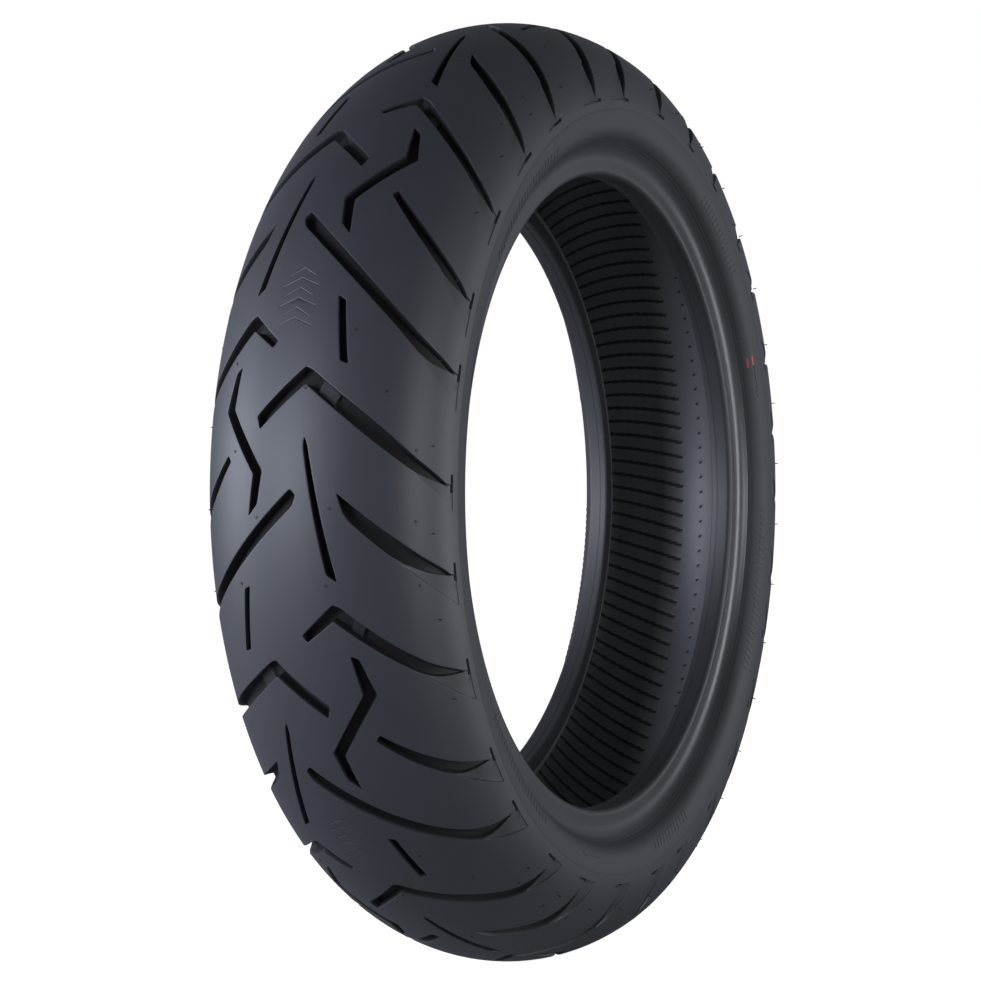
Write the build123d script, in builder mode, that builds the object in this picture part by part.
"""Bare radial motorcycle tyre for a 17 inch rear wheel, built up layer by layer.

Frame: origin at the wheel centre, +Y along the axle, +Z up. Millimetres.
The cross section is drawn in the YZ plane (axle distance across, radius up)
and turned about the Y axis. The section is shared out between the layers, so
neighbouring layers meet face to face with no gap and no overlap.
"""

import os
from math import cos, degrees, radians, sin

from build123d import *

os.makedirs("parts", exist_ok=True)

# Outer shape
CROWN_R = 322.0  # radius of the tyre at the middle of the tread
CROWN_ARC = 97.4  # cross-section radius of the tread crown
CROWN_DEG = 36.9  # where the crown arc hands over to the shoulder arc
SHOULDER_ARC = 52.0
SHOULDER_DEG = 68.1
BUTTRESS_ARC = 14.0  # tight curve at the foot of the sidewall
BUTTRESS_DEG = 45.0
SHELF_LENGTH = 7.0  # short flat between the sidewall and the rim flange
RIM_HOLLOW_ARC = 6.0
FLANGE_HEIGHT = 10.3
HEEL_ARC = 4.0
SEAT_R = 216.0  # bead seat of the free tyre, before a rim stretches it
SEAT_WIDTH = 10.9
TOE_ARC = 1.5

# Layer thicknesses at the crown, outside to inside
TREAD_DEPTH = 8.2
BASE_DEPTH = 1.4
BELT_DEPTH = 1.8
PLY = 1.1
LINER = 1.4
CARCASS_DEPTH = TREAD_DEPTH + BASE_DEPTH + BELT_DEPTH + PLY

# Carcass line, the face where the two plies touch
CARCASS_ARC = 81.0
CARCASS_DEG = 62.5
CARCASS_SIDE_ARC = 28.0
CARCASS_FOOT_ARC = 10.0
CARCASS_SLOPE = 20.0
BEAD_R = 224.5  # centre of the bead wire bundle
BEAD_WRAP_R = 5.0
BUNDLE_R = 4.4  # corner radius of the six-sided wire bundle
TURN_UP = 6.5

# Tread
GROOVE_DEPTH = 6.8
GROOVE_FLOOR_ARC = 59.1  # flatter than the shoulder, so grooves grow shallow outward
CAP_EDGE_DEG = 92.0  # where the tread rubber runs out on the sidewall
CAP_FOOT = (73.6, 264.8)  # deepest point of the tread rubber's edge
CENTRE_DEG = 26.0  # half width of the harder centre compound
PITCHES = 6  # repeats of the groove pattern round the tyre
RUN_OUT = 107.0  # distance from the middle where the side grooves stop

# Belt
BELT_DEG = 44.0
BASE_DEG = 55.0
BELT_COVER = 0.45  # rubber on each side of the cord layer

# Groove outlines on the tread surface, as (distance from the middle of the
# tread, distance round the tyre). One pitch of one side; the other side is its
# mirror image, half a pitch on.
GROOVES = {
    "long_chevron": [
        (-17.5, 43.5), (12.5, 71.5), (16.5, 70), (58.5, 39), (78, 22.5), (102, 6), (RUN_OUT, 1),
        (RUN_OUT, -16), (79.5, 12), (58.5, 27), (13.5, 61.5), (-15, 36),
    ],
    "blade": [(15.5, 31), (17, 28), (33, -51), (27, -45), (14.8, 24)],
    "upper_drain": [
        (35, -0.5), (79, -39), (RUN_OUT, -63), (RUN_OUT, -82), (65.5, -39.5), (38.5, -13.5),
    ],
    "short_chevron": [
        (8.5, -81.5), (29, -64), (33.5, -66), (57.5, -89), (80.5, -111.5), (100, -123.5),
        (RUN_OUT, -130), (RUN_OUT, -156), (73.5, -113.5), (57.5, -99.5), (28.5, -73.5), (11.5, -85.5),
    ],
    "zigzag": [
        (35.5, -95), (40, -97), (46.5, -121), (19, -158),
        (22, -182), (15.5, -174), (12, -156), (38.5, -120),
    ],
    "lower_drain": [
        (39.5, -150.5), (42.5, -147), (57.5, -162.5), (80.5, -184.5), (RUN_OUT, -206.5),
        (RUN_OUT, -232.5), (76, -189), (57.5, -171),
    ],
    "long_drain": [
        (-10, -170), (-7, -166.5), (58, -224.5), (78, -242.5), (101, -255), (RUN_OUT, -263),
        (RUN_OUT, -295), (76, -252), (58, -234), (-8, -176),
    ],
    "short_blade": [(25.5, -222.5), (29.5, -224), (36.5, -262.5), (32.5, -263.5)],
}


class Trail:
    """A line walked across the section in straights and tangent arcs."""

    def __init__(self, y, r, heading=0.0):
        self.start = (y, r, heading)
        self.steps = []

    def forward(self, length):
        self.steps.append(("line", length, 0.0))
        return self

    def right(self, radius, angle):
        self.steps.append(("arc", radius, -angle))
        return self

    def left(self, radius, angle):
        self.steps.append(("arc", radius, angle))
        return self

    def walk(self, side=0.0, first=0, last=None):
        """Edges of the line moved sideways by side (left is positive)."""
        y, r, heading = self.start
        edges = []
        ends = []
        for number, (kind, size, angle) in enumerate(self.steps):
            a = radians(heading)
            left = (-sin(a), cos(a))
            begin = (y + left[0] * side, r + left[1] * side)
            if kind == "line":
                y += cos(a) * size
                r += sin(a) * size
                finish = (y + left[0] * side, r + left[1] * side)
                edge = ("line", begin, finish, None)
            else:
                turn = 1.0 if angle > 0 else -1.0
                centre = (y + left[0] * size * turn, r + left[1] * size * turn)
                middle_heading = radians(heading + angle / 2)
                heading += angle
                b = radians(heading)
                reach = size - side * turn
                middle = (
                    centre[0] + sin(middle_heading) * reach * turn,
                    centre[1] - cos(middle_heading) * reach * turn,
                )
                y = centre[0] + sin(b) * size * turn
                r = centre[1] - cos(b) * size * turn
                finish = (centre[0] + sin(b) * reach * turn, centre[1] - cos(b) * reach * turn)
                edge = ("arc", begin, finish, middle)
            if number >= first and (last is None or number <= last):
                edges.append(edge)
                ends.append((begin, finish))
        return edges, ends[0][0], ends[-1][1]


def draw(edges):
    """Adds a walked trail's edges to the BuildLine in force."""
    for kind, begin, finish, middle in edges:
        if kind == "line":
            Line(begin, finish)
        else:
            ThreePointArc(begin, middle, finish)


def ribbon(trail, inner, outer, first=0, last=None):
    """Draws the closed outline between two sideways distances of a trail."""
    near, near_start, near_end = trail.walk(inner, first, last)
    far, far_start, far_end = trail.walk(outer, first, last)
    draw(near)
    draw(far)
    Line(near_start, far_start)
    Line(near_end, far_end)


def on_arc(centre, radius, angle):
    """The point of an arc whose normal leans this far from the radial direction."""
    return (centre[0] + radius * sin(radians(angle)), centre[1] + radius * cos(radians(angle)))


crown_centre = (0.0, CROWN_R - CROWN_ARC)
shoulder_start = on_arc(crown_centre, CROWN_ARC, CROWN_DEG)
shoulder_centre = on_arc(shoulder_start, -SHOULDER_ARC, CROWN_DEG)

outside = (
    Trail(0, CROWN_R)
    .right(CROWN_ARC, CROWN_DEG)
    .right(SHOULDER_ARC, SHOULDER_DEG)
    .right(BUTTRESS_ARC, BUTTRESS_DEG)
    .forward(SHELF_LENGTH)
    .left(RIM_HOLLOW_ARC, CROWN_DEG + SHOULDER_DEG + BUTTRESS_DEG - 90)
)
flange_top = outside.walk()[2]
outside.forward(flange_top[1] - SEAT_R - HEEL_ARC).right(HEEL_ARC, 90).forward(SEAT_WIDTH)
outside.right(TOE_ARC, 90)

carcass = (
    Trail(0, CROWN_R - CARCASS_DEPTH)
    .right(CARCASS_ARC, CARCASS_DEG)
    .right(CARCASS_SIDE_ARC, 90 - CARCASS_DEG)
    .right(CARCASS_FOOT_ARC, 60)
    .forward(CARCASS_SLOPE)
    .left(8.0, 60)
)
wrap_start = carcass.walk()[2]
carcass.forward(wrap_start[1] - BEAD_R).left(BEAD_WRAP_R, 180).forward(6).right(8.0, 55).forward(TURN_UP)

SLOPE_STEP = 3  # the straight run from the sidewall down to the bead
bead_y = wrap_start[0] + BEAD_WRAP_R
carcass_centre = (0.0, CROWN_R - CARCASS_DEPTH - CARCASS_ARC)


def crown_band(inner, outer, first_deg, last_deg):
    """Outline between two distances outside the carcass line, over part of the crown."""
    near = CARCASS_ARC + inner
    far = CARCASS_ARC + outer
    middle_deg = (first_deg + last_deg) / 2
    corners = [on_arc(carcass_centre, size, a) for size in (near, far) for a in (first_deg, last_deg)]
    ThreePointArc(corners[0], on_arc(carcass_centre, near, middle_deg), corners[1])
    ThreePointArc(corners[2], on_arc(carcass_centre, far, middle_deg), corners[3])
    Line(corners[0], corners[2])
    Line(corners[1], corners[3])


# Half cross sections of the layers, from the cavity outward
with BuildSketch(Plane.YZ) as liner_section:
    with BuildLine():
        ribbon(carcass, -PLY - LINER, -PLY, 0, 4)
    make_face()

with BuildSketch(Plane.YZ) as inner_ply_section:
    with BuildLine():
        ribbon(carcass, -PLY, 0)
    make_face()

with BuildSketch(Plane.YZ) as outer_ply_section:
    with BuildLine():
        ribbon(carcass, 0, PLY, 0, SLOPE_STEP)
    make_face()

with BuildSketch(Plane.YZ) as bead_disc:
    with Locations((bead_y, BEAD_R)):
        Circle(BEAD_WRAP_R)

with BuildSketch(Plane.YZ) as wire_section:
    with Locations((bead_y, BEAD_R)):
        RegularPolygon(BUNDLE_R, 6)

with BuildSketch(Plane.YZ) as wrap_section:
    add(bead_disc.sketch_local)
    add(wire_section.sketch_local, mode=Mode.SUBTRACT)

with BuildSketch(Plane.YZ) as filler_section:
    with BuildLine():
        loop_edges, loop_start, loop_end = carcass.walk(0, SLOPE_STEP)
        draw(loop_edges)
        Line(loop_end, loop_start)
    make_face()
    add(outer_ply_section.sketch_local, mode=Mode.SUBTRACT)
    add(bead_disc.sketch_local, mode=Mode.SUBTRACT)

with BuildSketch(Plane.YZ) as inner_cover_section:
    with BuildLine():
        crown_band(PLY, PLY + BELT_COVER, 0, BELT_DEG)
    make_face()

with BuildSketch(Plane.YZ) as cord_section:
    with BuildLine():
        crown_band(PLY + BELT_COVER, PLY + BELT_DEPTH - BELT_COVER, 0, BELT_DEG)
    make_face()

with BuildSketch(Plane.YZ) as outer_cover_section:
    with BuildLine():
        crown_band(PLY + BELT_DEPTH - BELT_COVER, PLY + BELT_DEPTH, 0, BELT_DEG)
    make_face()

with BuildSketch(Plane.YZ) as cushion_section:
    with BuildLine():
        crown_band(PLY, PLY + BELT_DEPTH, BELT_DEG, BASE_DEG)
    make_face()

with BuildSketch(Plane.YZ) as base_section:
    with BuildLine():
        crown_band(PLY + BELT_DEPTH, PLY + BELT_DEPTH + BASE_DEPTH, 0, BASE_DEG)
    make_face()

# What is left between those layers and the outer shape: tread, sidewall, chafer
with BuildSketch(Plane.YZ) as rubber_section:
    with BuildLine():
        outer_edges, top_point, toe_point = outside.walk()
        draw(outer_edges)
        inner_edges, inner_top, inner_end = carcass.walk(-PLY - LINER, 0, 5)
        draw(inner_edges)
        Line(toe_point, inner_end)
        Line(top_point, inner_top)
    make_face()
    for taken in (liner_section, inner_ply_section, outer_ply_section, bead_disc, filler_section):
        add(taken.sketch_local, mode=Mode.SUBTRACT)
    with BuildLine():
        crown_band(PLY, PLY + BELT_DEPTH + BASE_DEPTH, 0, BASE_DEG)
    make_face(mode=Mode.SUBTRACT)

cap_edge = on_arc(shoulder_centre, SHOULDER_ARC, CAP_EDGE_DEG)
cap_edge_clear = (2 * cap_edge[0] - CAP_FOOT[0], 2 * cap_edge[1] - CAP_FOOT[1])
with BuildSketch(Plane.YZ) as cap_section:
    add(rubber_section.sketch_local)
    with BuildLine():
        Polyline((0, 200), CAP_FOOT, cap_edge_clear, (120, 400), (0, 400), close=True)
    make_face(mode=Mode.INTERSECT)

split_low = on_arc(crown_centre, 60, CENTRE_DEG)
split_high = on_arc(crown_centre, 120, CENTRE_DEG)
with BuildSketch(Plane.YZ) as centre_section:
    add(cap_section.sketch_local)
    with BuildLine():
        Polyline((0, 200), split_low, split_high, (0, 400), close=True)
    make_face(mode=Mode.INTERSECT)

with BuildSketch(Plane.YZ) as shoulder_section:
    add(cap_section.sketch_local)
    add(centre_section.sketch_local, mode=Mode.SUBTRACT)

foot_edges, foot_start, shelf_start = outside.walk(0, 0, 2)
chafer_edge = (shelf_start[0] - 3.1, shelf_start[1] - 1.8)
with BuildSketch(Plane.YZ) as chafer_section:
    add(rubber_section.sketch_local)
    with BuildLine():
        Polyline(
            (chafer_edge[0] + 3, chafer_edge[1] - 5.2),
            (chafer_edge[0] - 2.5, chafer_edge[1] + 4.33),
            (40, chafer_edge[1] + 4.33),
            (40, 200),
            (chafer_edge[0] + 3, 200),
            close=True,
        )
    make_face(mode=Mode.INTERSECT)

with BuildSketch(Plane.YZ) as sidewall_section:
    add(rubber_section.sketch_local)
    add(cap_section.sketch_local, mode=Mode.SUBTRACT)
    add(chafer_section.sketch_local, mode=Mode.SUBTRACT)


def groove_floor_band():
    """Closed outline between the groove floor and clear of the tread surface."""
    floor_start = on_arc(crown_centre, CROWN_ARC - GROOVE_DEPTH, CROWN_DEG)
    floor_centre = on_arc(floor_start, -GROOVE_FLOOR_ARC, CROWN_DEG)
    floor_deg = CROWN_DEG + degrees((RUN_OUT - CROWN_ARC * radians(CROWN_DEG)) / SHOULDER_ARC)
    floor_end = on_arc(floor_centre, GROOVE_FLOOR_ARC, floor_deg)
    ThreePointArc(
        (0, CROWN_R - GROOVE_DEPTH),
        on_arc(crown_centre, CROWN_ARC - GROOVE_DEPTH, CROWN_DEG / 2),
        floor_start,
    )
    ThreePointArc(
        floor_start,
        on_arc(floor_centre, GROOVE_FLOOR_ARC, (CROWN_DEG + floor_deg) / 2),
        floor_end,
    )
    Polyline(floor_end, on_arc(floor_end, 25, floor_deg), (110, 360), (0, 360), (0, CROWN_R - GROOVE_DEPTH))


with BuildPart() as floor_ring:
    with BuildSketch(Plane.YZ):
        with BuildLine():
            groove_floor_band()
        make_face()
        mirror(about=Plane.YZ)
    revolve(axis=Axis.Y)


def tread_point(across, along):
    """Axle distance, radius and angle round the tyre of a place on the tread."""
    crown_length = CROWN_ARC * radians(CROWN_DEG)
    if abs(across) < crown_length:
        y, r = on_arc(crown_centre, CROWN_ARC, degrees(abs(across) / CROWN_ARC))
    else:
        y, r = on_arc(
            shoulder_centre, SHOULDER_ARC, CROWN_DEG + degrees((abs(across) - crown_length) / SHOULDER_ARC)
        )
    return (y if across > 0 else -y), r, along / CROWN_R


def groove_cutter(outline):
    """Solid that stands over one groove outline, along the radius through its middle."""
    middle = sum(along for across, along in outline) / len(outline) / CROWN_R
    facing = Plane(origin=(0, 0, 0), x_dir=(0, -1, 0), z_dir=(-cos(middle), 0, sin(middle)))
    corners = []
    for across, along in outline:
        y, r, angle = tread_point(across, along)
        corners.append((y, r * sin(angle - middle)))
    with BuildPart() as cutter:
        with BuildSketch(facing.offset(235)):
            with BuildLine():
                Polyline(*corners, close=True)
            make_face()
        extrude(amount=100)
        add(floor_ring.part, mode=Mode.INTERSECT)
    return cutter.part


right_grooves = [groove_cutter(outline) for outline in GROOVES.values()]
left_grooves = [groove.mirror(Plane.XZ).rotate(Axis.Y, 180 / PITCHES) for groove in right_grooves]
grooves = [
    groove.rotate(Axis.Y, number * 360 / PITCHES)
    for number in range(PITCHES)
    for groove in right_grooves + left_grooves
]


def turned(section):
    """One ring turned from a half section on the left side."""
    with BuildPart() as ring:
        add(section.sketch)
        revolve(axis=Axis.Y)
    return ring.part


def turned_both(section):
    """One ring turned from a half section and its mirror image together."""
    with BuildPart() as ring:
        with BuildSketch(Plane.YZ):
            add(section.sketch_local)
            mirror(about=Plane.YZ)
        revolve(axis=Axis.Y)
    return ring.part


# Harder rubber of the middle of the tread
with BuildPart() as tread_centre:
    add(turned_both(centre_section))
    add(grooves, mode=Mode.SUBTRACT)
tread_centre.part.label = "tread_centre"
export_step(tread_centre.part, "parts/tread_centre.step")

# Thin cool-running rubber under the whole tread
with BuildPart() as tread_base:
    add(turned_both(base_section))
tread_base.part.label = "tread_base"
export_step(tread_base.part, "parts/tread_base.step")

# Outer half of the rubber that holds the belt cord
with BuildPart() as belt_cover_outer:
    add(turned_both(outer_cover_section))
belt_cover_outer.part.label = "belt_cover_outer"
export_step(belt_cover_outer.part, "parts/belt_cover_outer.step")

# Steel cord wound side by side round the crown, taken as one sheet
with BuildPart() as belt_cord:
    add(turned_both(cord_section))
belt_cord.part.label = "belt_cord"
export_step(belt_cord.part, "parts/belt_cord.step")

# Inner half of the rubber that holds the belt cord
with BuildPart() as belt_cover_inner:
    add(turned_both(inner_cover_section))
belt_cover_inner.part.label = "belt_cover_inner"
export_step(belt_cover_inner.part, "parts/belt_cover_inner.step")

# Outer radial ply, which stops above the bead wires
with BuildPart() as carcass_ply_outer:
    add(turned_both(outer_ply_section))
carcass_ply_outer.part.label = "carcass_ply_outer"
export_step(carcass_ply_outer.part, "parts/carcass_ply_outer.step")

# Inner radial ply, folded up round both bead bundles
with BuildPart() as carcass_ply_inner:
    add(turned_both(inner_ply_section))
carcass_ply_inner.part.label = "carcass_ply_inner"
export_step(carcass_ply_inner.part, "parts/carcass_ply_inner.step")

# Airtight lining of the cavity
with BuildPart() as inner_liner:
    add(turned_both(liner_section))
inner_liner.part.label = "inner_liner"
export_step(inner_liner.part, "parts/inner_liner.step")

# Softer rubber of the tread shoulders
with BuildPart() as tread_shoulder_left:
    add(turned(shoulder_section))
    add(grooves, mode=Mode.SUBTRACT)
tread_shoulder_left.part.label = "tread_shoulder_left"
export_step(tread_shoulder_left.part, "parts/tread_shoulder_left.step")

with BuildPart() as tread_shoulder_right:
    add(tread_shoulder_left.part.mirror(Plane.XZ).rotate(Axis.Y, 180 / PITCHES))
tread_shoulder_right.part.label = "tread_shoulder_right"
export_step(tread_shoulder_right.part, "parts/tread_shoulder_right.step")

# Cushion strips beside the belt edges
with BuildPart() as belt_edge_strip_left:
    add(turned(cushion_section))
belt_edge_strip_left.part.label = "belt_edge_strip_left"
export_step(belt_edge_strip_left.part, "parts/belt_edge_strip_left.step")

with BuildPart() as belt_edge_strip_right:
    add(belt_edge_strip_left.part.mirror(Plane.XZ))
belt_edge_strip_right.part.label = "belt_edge_strip_right"
export_step(belt_edge_strip_right.part, "parts/belt_edge_strip_right.step")

# Outer skins of the sidewalls
with BuildPart() as sidewall_left:
    add(turned(sidewall_section))
sidewall_left.part.label = "sidewall_left"
export_step(sidewall_left.part, "parts/sidewall_left.step")

with BuildPart() as sidewall_right:
    add(sidewall_left.part.mirror(Plane.XZ))
sidewall_right.part.label = "sidewall_right"
export_step(sidewall_right.part, "parts/sidewall_right.step")

# Stiff wedges above the bead wires
with BuildPart() as bead_filler_left:
    add(turned(filler_section))
bead_filler_left.part.label = "bead_filler_left"
export_step(bead_filler_left.part, "parts/bead_filler_left.step")

with BuildPart() as bead_filler_right:
    add(bead_filler_left.part.mirror(Plane.XZ))
bead_filler_right.part.label = "bead_filler_right"
export_step(bead_filler_right.part, "parts/bead_filler_right.step")

# Bundles of bead wire, each taken as one six-sided ring
with BuildPart() as bead_wire_left:
    add(turned(wire_section))
bead_wire_left.part.label = "bead_wire_left"
export_step(bead_wire_left.part, "parts/bead_wire_left.step")

with BuildPart() as bead_wire_right:
    add(bead_wire_left.part.mirror(Plane.XZ))
bead_wire_right.part.label = "bead_wire_right"
export_step(bead_wire_right.part, "parts/bead_wire_right.step")

# Rubbered tape round each wire bundle
with BuildPart() as bead_wrap_left:
    add(turned(wrap_section))
bead_wrap_left.part.label = "bead_wrap_left"
export_step(bead_wrap_left.part, "parts/bead_wrap_left.step")

with BuildPart() as bead_wrap_right:
    add(bead_wrap_left.part.mirror(Plane.XZ))
bead_wrap_right.part.label = "bead_wrap_right"
export_step(bead_wrap_right.part, "parts/bead_wrap_right.step")

# Hard rubber that bears on the rim
with BuildPart() as rim_strip_left:
    add(turned(chafer_section))
rim_strip_left.part.label = "rim_strip_left"
export_step(rim_strip_left.part, "parts/rim_strip_left.step")

with BuildPart() as rim_strip_right:
    add(rim_strip_left.part.mirror(Plane.XZ))
rim_strip_right.part.label = "rim_strip_right"
export_step(rim_strip_right.part, "parts/rim_strip_right.step")
